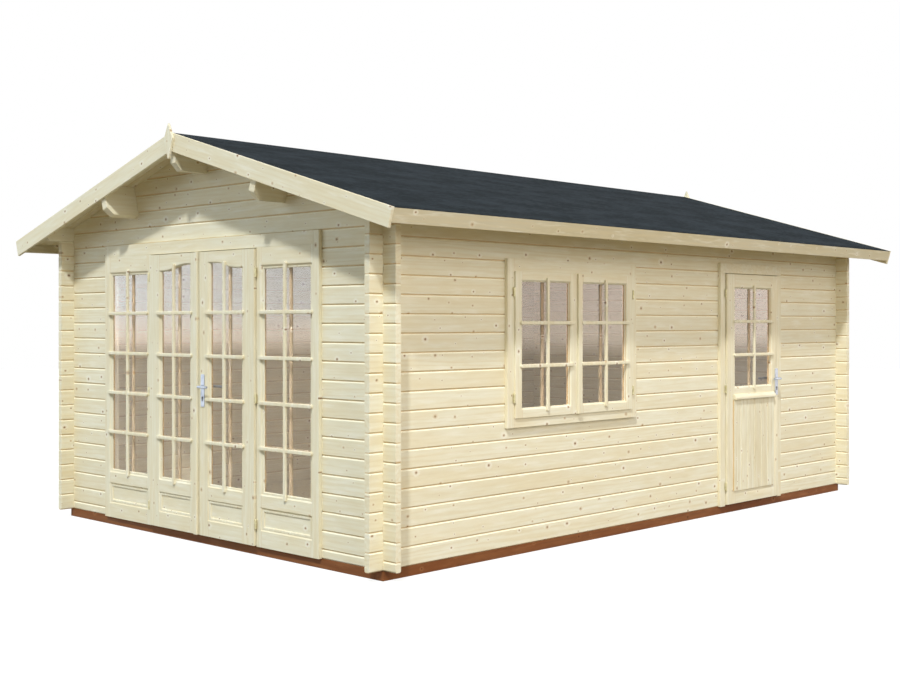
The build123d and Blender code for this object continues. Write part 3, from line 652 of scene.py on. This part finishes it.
# Front doors: a pair of framed spruce leaves with an arched top rail, glass over a flat panel, and a
# strip on the left leaf that covers the joint between them.
door_glass = (0.107, 0.479)
strip_arris = 0.004
front_leaf_finish = timber("spruce front leaf", spruce_tones, "Z", "X", "Y",
                           rails=(cabin_middle, *door_glass))
for side in ("right", "left"):
    dress(f"front_{side}_door_leaf", front_leaf_finish, leaf_arris)
    dress(f"front_{side}_door_panel", panel_finish)
    low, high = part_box(f"front_{side}_door_pane")
    around_glass = (low.x, high.x, low.z, high.z + bead_width)
    glass_face = low.y
    low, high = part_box(f"front_{side}_door_panel")
    around_panel = (low.x, high.x, low.z, high.z)
    beads = front_beads("door_beads", glass_face, around_glass, low.y, around_panel)
    hang(join(f"front_{side}_door_beads", beads), upright_finish, "spruce", f"front_{side}_door")
dress("front_left_meeting_strip", upright_finish, strip_arris, 3)

# Glazing bars: slim spruce laths, rounded in front, halved over each other and pinned to the face of
# the frame round each pane, outside and inside alike.
bar_width = 0.024
bar_depth = 0.015
bar_lap = 0.027
bar_round = 0.005
bar_end_share = 0.42
cross_sink = 0.0004
front_heights = (0.692, 0.980, 1.268, 1.558)
upright_drop = 0.02
sidelight_lap = 0.020
sidelight_depth = 0.040
# The inner bars take darker spruce tones, which are painted shade for their place behind the glass.
inner_bar_shade_tones = {
    **spruce_tones,
    "light": (194, 179, 153),
    "late": (172, 154, 128),
    "warm": (184, 166, 139),
}
bar_upright_finish = timber("spruce upright bar", spruce_tones, "Z", "X", "Y")
inner_bar_shaded_finish = timber("spruce inner bar with painted shade", inner_bar_shade_tones, "Z", "X", "Y")


def lath(name, low, high, axis, sign):
    """One bar between two corners, its front edges rounded and its ends drawn in."""
    piece = add_block(name, low, high)
    front = high[axis] if sign > 0 else low[axis]
    span = 1 - axis if high[1 - axis] - low[1 - axis] > high[2] - low[2] else 2
    ends = (low[span], high[span])

    def at_an_end(start, end):
        through = abs(start[axis] - end[axis]) > tiny
        return through and min(abs(start[span] - place) for place in ends) < tiny

    bevel_edges(piece, at_an_end, bar_width * bar_end_share, 4)
    bevel_edges(piece, on_plane(axis, front), bar_round, 3)
    return piece


def bar_grid(name, axis, face, sign, opening, heights, side_lap):
    """The bars on one face: an upright in the middle of the pane, and cross bars at the given
    heights, a hair lower than the upright."""
    u0, u1, z0, z1 = opening
    middle = (u0 + u1) / 2
    half = bar_width / 2

    def bar(ua, ub, za, zb, out):
        near, far = sorted((face, face + sign * out))
        if axis == 0:
            return lath(name, (near, ua, za), (far, ub, zb), axis, sign)
        return lath(name, (ua, near, za), (ub, far, zb), axis, sign)

    pieces = [bar(middle - half, middle + half, z0 - bar_lap, z1 + bar_lap, bar_depth)]
    for height in heights:
        pieces.append(bar(u0 - side_lap, u1 + side_lap, height - half, height + half,
                          bar_depth - cross_sink))
    return join(name, pieces)


def hang_bars(name, body, axis, sign, faces, opening, heights, finish, side_lap=bar_lap):
    """The bars on the outer and the inner face of one pane, set on its body."""
    outer_face, inner_face = faces
    outer = bar_grid(f"{name}_outer_bars", axis, outer_face, sign, opening, heights, side_lap)
    inner = bar_grid(f"{name}_inner_bars", axis, inner_face, -sign, opening, heights, side_lap)
    hang(outer, finish, "spruce", body)
    hang(inner, inner_bar_shaded_finish, "spruce", body)


door_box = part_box("front_right_door_leaf")
pane_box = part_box("front_right_door_pane")
for side, sign in (("right", 1), ("left", -1)):
    span = sorted((sign * door_glass[0], sign * door_glass[1]))
    opening = (*span, pane_box[0].z, pane_box[1].z - upright_drop)
    hang_bars(f"front_{side}_door", f"front_{side}_door", 1, -1, (door_box[0].y, door_box[1].y),
              opening, front_heights, bar_upright_finish)

light_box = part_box("sidelight_frames")
light_faces = (light_box[0].y, light_box[0].y + sidelight_depth)
for side, sign in (("right", 1), ("left", -1)):
    span = sorted((sign * sidelight_glass[0], sign * sidelight_glass[1]))
    opening = (*span, pane_low.z, light_top)
    hang_bars(f"{side}_sidelight", "cabin", 1, -1, light_faces, opening, front_heights,
              bar_upright_finish, sidelight_lap)

# Window: a spruce casing frame with two side-hung sashes, shut, and a strip over their joint.
# Each sash has a pane with bars on both faces, held by a slim bead.
window_middle = -1.006
window_casing_edge = 0.625
window_arris = 0.003
no_edge = -1.0
sash_edges = (0.069, 0.557)
sash_heights = (1.212, 1.490)
sash_rail = 0.060
strip_proud = 0.014
slim_bead_width = 0.005
slim_bead_depth = 0.006
window_frame_finish = timber("spruce window casing", spruce_tones, "Z", "Y", "X",
                             rails=(window_middle, no_edge, window_casing_edge))
sash_finish = timber("spruce sash", spruce_tones, "Z", "Y", "X", rails=(window_middle, *sash_edges))
dress("window_frame", window_frame_finish, window_arris)
dress("window_sashes", sash_finish, leaf_arris)
sash_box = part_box("window_sashes")
sash_faces = (sash_box[1].x - strip_proud, sash_box[0].x)
sash_glass = (sash_box[0].z + sash_rail, sash_box[1].z - sash_rail)
side_bar_finish = timber("spruce bar of the right wall", spruce_tones, "Z", "Y", "X")
for side, sign in (("back", 1), ("front", -1)):
    span = sorted((window_middle + sign * sash_edges[0], window_middle + sign * sash_edges[1]))
    opening = (*span, *sash_glass)
    bead = bead_ring(f"{side}_sash_beads", 0, pane_high.x, 1, opening, slim_bead_width,
                     slim_bead_depth)
    hang(bead, side_upright_finish, "spruce", "cabin")
    hang_bars(f"{side}_sash", "cabin", 0, 1, sash_faces, opening, sash_heights, side_bar_finish)

# Inner casings: flat spruce boards round each opening, planed and nailed to the inside of the logs.
# They cover the gap that is left round the frames for the logs to settle.
dress("inner_casing_uprights", side_upright_finish, casing_arris)
dress("inner_casing_tops", cross_finish, casing_arris)

# Side door: a framed spruce leaf, half glazed, with upright boards below and a drip bar between them.
# The boards stand a little proud of the leaf and have bevelled edges.
side_board_count = 6
side_board_bevel = 0.004
side_middle = 1.245
side_glass_edge = 0.273
side_heights = (1.236, 1.500)
drip_round = 0.008
door_board_tones = {
    **spruce_tones,
    "light": (244, 241, 221),
    "late": (206, 188, 146),
    "warm": (240, 232, 204),
}
side_leaf_finish = timber("spruce side leaf", spruce_tones, "Z", "Y", "X",
                          rails=(side_middle, no_edge, side_glass_edge))
drip_finish = timber("spruce drip bar", spruce_tones, "Y", "Z", "X")
dress("side_door_leaf", side_leaf_finish, leaf_arris)
dress("side_door_drip_bar", drip_finish, drip_round, 4)
boards_low, boards_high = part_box("side_door_boards")
side_board = (boards_high.y - boards_low.y) / side_board_count
one_end = (boards_high.x, boards_low.y + side_board - board_gap, boards_high.z)
side_boards = add_block("side_door_boarding", boards_low, one_end)
bevel_edges(side_boards, on_plane(0, boards_high.x, steady=1), side_board_bevel)
in_row(side_boards, side_board_count, (0, side_board, 0))
side_board_finish = timber("spruce door board", door_board_tones, "Z", "Y", "X",
                           (boards_low.y, side_board))
hang(side_boards, side_board_finish, "spruce", "side_door", "side_door_boards")
side_leaf_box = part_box("side_door_leaf")
low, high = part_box("side_door_pane")
opening = (low.y, high.y, low.z, high.z)
side_bead = bead_ring("side_door_beads", 0, high.x, 1, opening, slim_bead_width, slim_bead_depth)
hang(side_bead, side_upright_finish, "spruce", "side_door")
hang_bars("side_door", "side_door", 0, 1, (side_leaf_box[1].x, side_leaf_box[0].x), opening,
          side_heights, side_bar_finish)

# Hinges: drill-in hinges of brassed steel, two barrels on one pin, each with a flag screwed into the
# frame or the leaf and a small domed tip.
barrel_sides = 20
barrel_radius = 0.008
barrel_length = 0.027
barrel_gap = 0.001
tip_height = 0.006
tip_share = 0.45
tip_step_share = 0.12
tip_round = 0.001
smooth_angle = math.radians(35)
flag_half = 0.0025
flag_rim = 0.0027
flag_arris = 0.0006
hinge_reach = 0.012
hinge_stand = 0.010
door_hinge_shares = (0.073, 0.495, 0.92)
side_hinge_shares = (0.08, 0.5, 0.915)
sash_hinge_shares = (0.14, 0.86)


def metal_finish(name, light, dark, roughness, metallic=1.0):
    """Metal with broad smudges in its tone and fine specks in its gloss."""
    finish, tree, shader = new_finish(name, roughness, metallic=metallic)
    smudge_scale, speck_scale, speck_reach = 30.0, 160.0, 0.2
    place = add(tree, "ShaderNodeTexCoord").outputs["Object"]
    smudge = cloud(tree, grown(tree, place, smudge_scale), 3.0)
    speck = cloud(tree, grown(tree, place, speck_scale), 2.0)
    colour = tint(tree, ease(tree, smudge, 0.35, 0.7), hue(*light), hue(*dark))
    uneven = calc(tree, "MULTIPLY_ADD", speck, speck_reach, roughness - speck_reach / 2)
    tree.links.new(colour, shader.inputs["Base Color"])
    tree.links.new(uneven, shader.inputs["Roughness"])
    return finish


brass = metal_finish("brassed steel", (216, 208, 168), (188, 178, 134), roughness=0.42,
                     metallic=0.55)
bpy.ops.object.select_all(action="DESELECT")
bpy.ops.mesh.primitive_cylinder_add(vertices=barrel_sides, radius=barrel_radius,
                                    depth=barrel_length, location=(0, 0, barrel_length / 2))
barrel = bpy.context.object
settle()
pick_faces(barrel, lambda face: face.center.z > barrel_length - tiny)
bpy.ops.mesh.inset(thickness=barrel_radius * tip_step_share)
bpy.ops.mesh.extrude_region_move(TRANSFORM_OT_translate={"value": (0, 0, tip_height)})
bpy.ops.transform.resize(value=(tip_share, tip_share, 1), center_override=(0, 0, 0))
bpy.ops.mesh.bevel(offset=tip_round, segments=2, affect="EDGES")
bpy.ops.object.mode_set(mode="OBJECT")
bpy.ops.object.shade_smooth_by_angle(angle=smooth_angle)


def hinge_half(x, y, start, up, flag_low, flag_high):
    """A barrel with its tip up or down, and the flag that is let into the wood beside it."""
    take(barrel)
    bpy.ops.object.duplicate()
    half = bpy.context.object
    if not up:
        bpy.ops.transform.rotate(value=math.pi, orient_axis="X", center_override=(0, 0, 0))
    bpy.ops.transform.translate(value=(x, y, start))
    settle()
    middle = start + (barrel_length / 2 if up else -barrel_length / 2)
    tall = barrel_length / 2 - flag_rim
    flag = add_block("flag", (*flag_low, middle - tall), (*flag_high, middle + tall))
    bevel_edges(flag, lambda start, end: True, flag_arris)
    return join("hinge_half", [half, flag])


def part_way(box, share):
    """A height between the foot and the top of a piece."""
    return box[0].z + (box[1].z - box[0].z) * share


frame_halves = []
front_axis_y = light_box[0].y - hinge_stand
for side, sign in (("right", 1), ("left", -1)):
    leaf_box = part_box(f"front_{side}_door_leaf")
    edge = max(abs(leaf_box[0].x), abs(leaf_box[1].x))
    axis_x = sign * (edge + hinge_reach)
    near, far = sorted((sign * edge, axis_x))
    frame_flag = (axis_x - flag_half, front_axis_y), (axis_x + flag_half, light_box[0].y)
    leaf_flag = (near, front_axis_y - flag_half), (far, front_axis_y + flag_half)
    leaf_halves = []
    for share in door_hinge_shares:
        middle = part_way(leaf_box, share)
        frame_halves.append(hinge_half(axis_x, front_axis_y, middle - barrel_gap, False, *frame_flag))
        leaf_halves.append(hinge_half(axis_x, front_axis_y, middle, True, *leaf_flag))
    hang(join(f"front_{side}_door_hinges", leaf_halves), brass, "hinge_metal",
         f"front_{side}_door", f"front_{side}_hinge_halves")

casing_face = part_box("window_frame")[1].x
side_axis_x = casing_face + hinge_stand
side_axis_y = side_leaf_box[0].y - hinge_reach
frame_flag = (casing_face, side_axis_y - flag_half), (side_axis_x, side_axis_y + flag_half)
leaf_flag = (side_axis_x - flag_half, side_axis_y), (side_axis_x + flag_half, side_leaf_box[0].y)
leaf_halves = []
for share in side_hinge_shares:
    middle = part_way(side_leaf_box, share)
    frame_halves.append(hinge_half(side_axis_x, side_axis_y, middle - barrel_gap, False, *frame_flag))
    leaf_halves.append(hinge_half(side_axis_x, side_axis_y, middle, True, *leaf_flag))
hang(join("side_door_hinges", leaf_halves), brass, "hinge_metal", "side_door",
     "side_door_hinge_halves")

for edge, axis_y in ((sash_box[0].y, sash_box[0].y - hinge_reach),
                     (sash_box[1].y, sash_box[1].y + hinge_reach)):
    near, far = sorted((axis_y, edge))
    frame_flag = (casing_face, axis_y - flag_half), (side_axis_x, axis_y + flag_half)
    sash_flag = (side_axis_x - flag_half, near), (side_axis_x + flag_half, far)
    for share in sash_hinge_shares:
        middle = part_way(sash_box, share)
        frame_halves.append(hinge_half(side_axis_x, axis_y, middle, False, *frame_flag))
        frame_halves.append(hinge_half(side_axis_x, axis_y, middle, True, *sash_flag))
hang(join("frame_hinges", frame_halves), brass, "hinge_metal", "cabin", "frame_hinge_halves")
bpy.data.objects.remove(barrel)

# Lever handles: satin aluminium, a long plate on each face of the leaf, screwed through it, and two
# levers on one square spindle.
plate_arris = 0.0012
lever_round = 0.0025
satin = metal_finish("satin aluminium", (188, 195, 208), (168, 176, 191), roughness=0.4,
                     metallic=0.45)
for node in ("front_handle_plates", "side_handle_plates"):
    dress(node, satin, plate_arris)
for node in ("front_lever_handles", "side_lever_handles"):
    dress(node, satin, lever_round, 3)

# Lock cylinders: nickelled brass, pushed through each leaf below the spindle and a little proud of
# the plates, with a slot for the key.
lock_drop = 0.081
lock_sides = 24
lock_radius = 0.0085
lock_stem = 0.010
lock_length = 0.031
lock_proud = 0.002
slot_share = 0.45
slot_half = 0.0012
stem_sink = 0.0002
stem_round_share = 0.9
front_spindle = 1.063
side_spindle = 1.034
lock_finish = metal_finish("nickelled brass", (96, 94, 92), (66, 64, 62), roughness=0.4)


def lock_cylinder(name, axis, face, sign, across, spindle):
    """One end of a cylinder: a round plug over a narrower stem, with the key slot cut in."""
    top = spindle - lock_drop + lock_length / 2
    foot = top - lock_length
    middle = top - lock_radius
    outer = face + sign * lock_proud
    turn = (math.radians(90), 0, math.radians(90) if axis == 0 else 0)
    place = (face, across, middle) if axis == 0 else (across, face, middle)
    bpy.ops.object.select_all(action="DESELECT")
    bpy.ops.mesh.primitive_cylinder_add(vertices=lock_sides, radius=lock_radius,
                                        depth=2 * lock_proud, location=place, rotation=turn)
    plug = bpy.context.object
    settle()
    pick_faces(plug, lambda piece: abs(piece.center[axis] - outer) < tiny)
    bpy.ops.mesh.inset(thickness=lock_radius * (1 - slot_share))
    squeeze = [1, 1, 1]
    squeeze[1 - axis] = slot_half / (lock_radius * slot_share)
    bpy.ops.transform.resize(value=squeeze, center_override=place)
    inward = [0, 0, 0]
    inward[axis] = -sign * lock_proud
    bpy.ops.mesh.extrude_region_move(TRANSFORM_OT_translate={"value": inward})
    bpy.ops.object.mode_set(mode="OBJECT")
    near, far = sorted((face - sign * lock_proud, outer - sign * stem_sink))
    half = lock_stem / 2
    low = (near, across - half, foot) if axis == 0 else (across - half, near, foot)
    high = (far, across + half, middle) if axis == 0 else (across + half, far, middle)
    stem = add_block(name, low, high)

    def lower_corner(start, end):
        return abs(start[axis] - end[axis]) > tiny and start.z < foot + tiny

    bevel_edges(stem, lower_corner, half * stem_round_share, 4)
    return join(name, [plug, stem])


low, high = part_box("front_handle_plates")
across = (low.x + high.x) / 2
front_locks = [
    lock_cylinder("lock", 1, low.y, -1, across, front_spindle),
    lock_cylinder("lock", 1, high.y, 1, across, front_spindle),
]
low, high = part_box("side_handle_plates")
across = (low.y + high.y) / 2
side_locks = [
    lock_cylinder("lock", 0, high.x, 1, across, side_spindle),
    lock_cylinder("lock", 0, low.x, -1, across, side_spindle),
]
hang(join("front_lock_cylinders", front_locks), lock_finish, "handle_metal", "front_right_door")
hang(join("side_lock_cylinders", side_locks), lock_finish, "handle_metal", "side_door")

# Stage: a pale floor, a white surround and soft lamps, with the camera level at eye height.
# The floor and the surround look white straight on, through glass and in reflections, and light the
# cabin with dimmer tones of their own.
white = (1.0, 1.0, 1.0, 1.0)
floor_reach = 60.0
floor_light = (0.2, 0.17, 0.12, 1.0)
floor_seen = (0.2, 0.2, 0.2, 1.0)
floor_glow = 0.86
surround_light = (0.87, 0.97, 1.0, 1.0)
surround_strength = 0.25


def seen_share(tree):
    """1 for what is seen straight, through glass or in a reflection, and 0 for what only lights."""
    path = add(tree, "ShaderNodeLightPath").outputs
    seen = calc(tree, "MAXIMUM", path["Is Camera Ray"], path["Is Transmission Ray"])
    return calc(tree, "MAXIMUM", seen, path["Is Glossy Ray"])


bpy.ops.object.select_all(action="DESELECT")
bpy.ops.mesh.primitive_plane_add(size=floor_reach, location=(0, 0, 0))
ground = bpy.context.object
ground.name = "studio_floor"
ground_finish, tree, shader = new_finish("pale studio floor", roughness=0.9, specular=0.1)
seen = seen_share(tree)
shader.inputs["Emission Color"].default_value = white
tree.links.new(tint(tree, seen, floor_light, floor_seen), shader.inputs["Base Color"])
tree.links.new(calc(tree, "MULTIPLY", seen, floor_glow), shader.inputs["Emission Strength"])
ground.data.materials.append(ground_finish)

world = bpy.data.worlds.new("studio")
bpy.context.scene.world = world
world.use_nodes = True
tree = world.node_tree
surround = tree.nodes["Background"].inputs
seen = seen_share(tree)
tree.links.new(tint(tree, seen, surround_light, white), surround["Color"])
tree.links.new(choose(tree, seen, surround_strength, 1.0), surround["Strength"])


def lamp(name, azimuth, height, strength, softness, colour):
    """A distant soft lamp that shines on the cabin from an azimuth and a height in degrees."""
    data = bpy.data.lights.new(name, "SUN")
    data.energy = strength
    data.color = colour
    data.angle = math.radians(softness)
    thing = bpy.data.objects.new(name, data)
    bpy.context.scene.collection.objects.link(thing)
    thing.rotation_euler = (math.radians(90 - height), 0, math.radians(azimuth))
    return thing


lamp("key lamp", azimuth=32, height=50, strength=2.35, softness=4, colour=(0.98, 1.0, 0.98))
lamp("left soft lamp", azimuth=225, height=35, strength=1.0, softness=60, colour=(1.0, 0.97, 0.92))


def soft_box(name, place, size, glow, colour):
    """A wide lamp that faces the cabin, and is warmer and dimmer along its upper and lower edge."""
    edge_colour, edge_blend, edge_dim = (1.0, 0.88, 0.78, 1.0), (0.03, 0.12), (0.0, 0.06)
    data = bpy.data.lights.new(name, "AREA")
    data.shape = "RECTANGLE"
    data.size, data.size_y = size
    data.energy = glow * math.pi * size[0] * size[1]
    data.use_nodes = True
    tree = data.node_tree
    spot = add(tree, "ShaderNodeNewGeometry").outputs["Parametric"]
    rise = add(tree, "ShaderNodeSeparateXYZ", {"Vector": spot}).outputs["Y"]
    edge = calc(tree, "MINIMUM", rise, calc(tree, "SUBTRACT", 1.0, rise))
    shade = tint(tree, ease(tree, edge, *edge_blend), edge_colour, (*colour, 1.0))
    tree.links.new(shade, tree.nodes["Emission"].inputs["Color"])
    tree.links.new(ease(tree, edge, *edge_dim), tree.nodes["Emission"].inputs["Strength"])
    thing = bpy.data.objects.new(name, data)
    bpy.context.scene.collection.objects.link(thing)
    thing.location = place
    across = math.atan2(place[0], -place[1])
    height = math.atan2(place[2], math.hypot(place[0], place[1]))
    thing.rotation_euler = (math.radians(90) - height, 0, across)
    thing.visible_camera = False
    return thing


# The lamps that light the wood stay out of reflections, and the two skies show only there and
# through glass. The skies stand nearer, so that they are not hidden.
far_size, near_size, right_size = (64.0, 32.0), (57.6, 28.8), (8.0, 10.0)
front_lamp = soft_box("front soft lamp", (-42.0, -48.0, 14.8), far_size, 2.0, (0.74, 0.88, 1.0))
back_lamp = soft_box("back soft lamp", (42.0, 44.0, 14.8), far_size, 1.4, (1.0, 0.88, 0.82))
front_sky = soft_box("front sky", (-37.8, -43.2, 13.3), near_size, 2.5, (0.84, 0.92, 1.0))
back_sky = soft_box("back sky", (37.8, 39.6, 13.3), near_size, 1.85, (1.0, 0.87, 0.82))
right_lamp = soft_box("right soft lamp", (14.0, -4.2, 7.0), right_size, 3.7, (1.0, 0.95, 0.86))
for thing in (front_lamp, back_lamp, right_lamp):
    thing.visible_glossy = False
for thing in (front_sky, back_sky):
    thing.visible_diffuse = False

room_size = (2.4, 4.4)
room_lamp_height = 2.05
room_data = bpy.data.lights.new("room lamp", "AREA")
room_data.shape = "RECTANGLE"
room_data.size, room_data.size_y = room_size
room_data.energy = 8.0
room_data.color = (1.0, 0.88, 0.68)
room_lamp = bpy.data.objects.new("room lamp", room_data)
bpy.context.scene.collection.objects.link(room_lamp)
room_lamp.location = (0, 0, room_lamp_height)
room_lamp.visible_camera = False
room_lamp.visible_transmission = False
room_lamp.visible_glossy = False

camera_place = (7.1224, -7.6778, 1.4968)
camera_azimuth = math.radians(44.27)
camera_data = bpy.data.cameras.new("camera")
camera_data.sensor_width = 36.0
camera_data.lens = 50.44
camera_data.shift_y = -0.0174
camera = bpy.data.objects.new("camera", camera_data)
bpy.context.scene.collection.objects.link(camera)
camera.location = camera_place
camera.rotation_euler = (math.radians(90), 0, camera_azimuth)
bpy.context.scene.camera = camera
bpy.context.scene.view_settings.view_transform = "Standard"
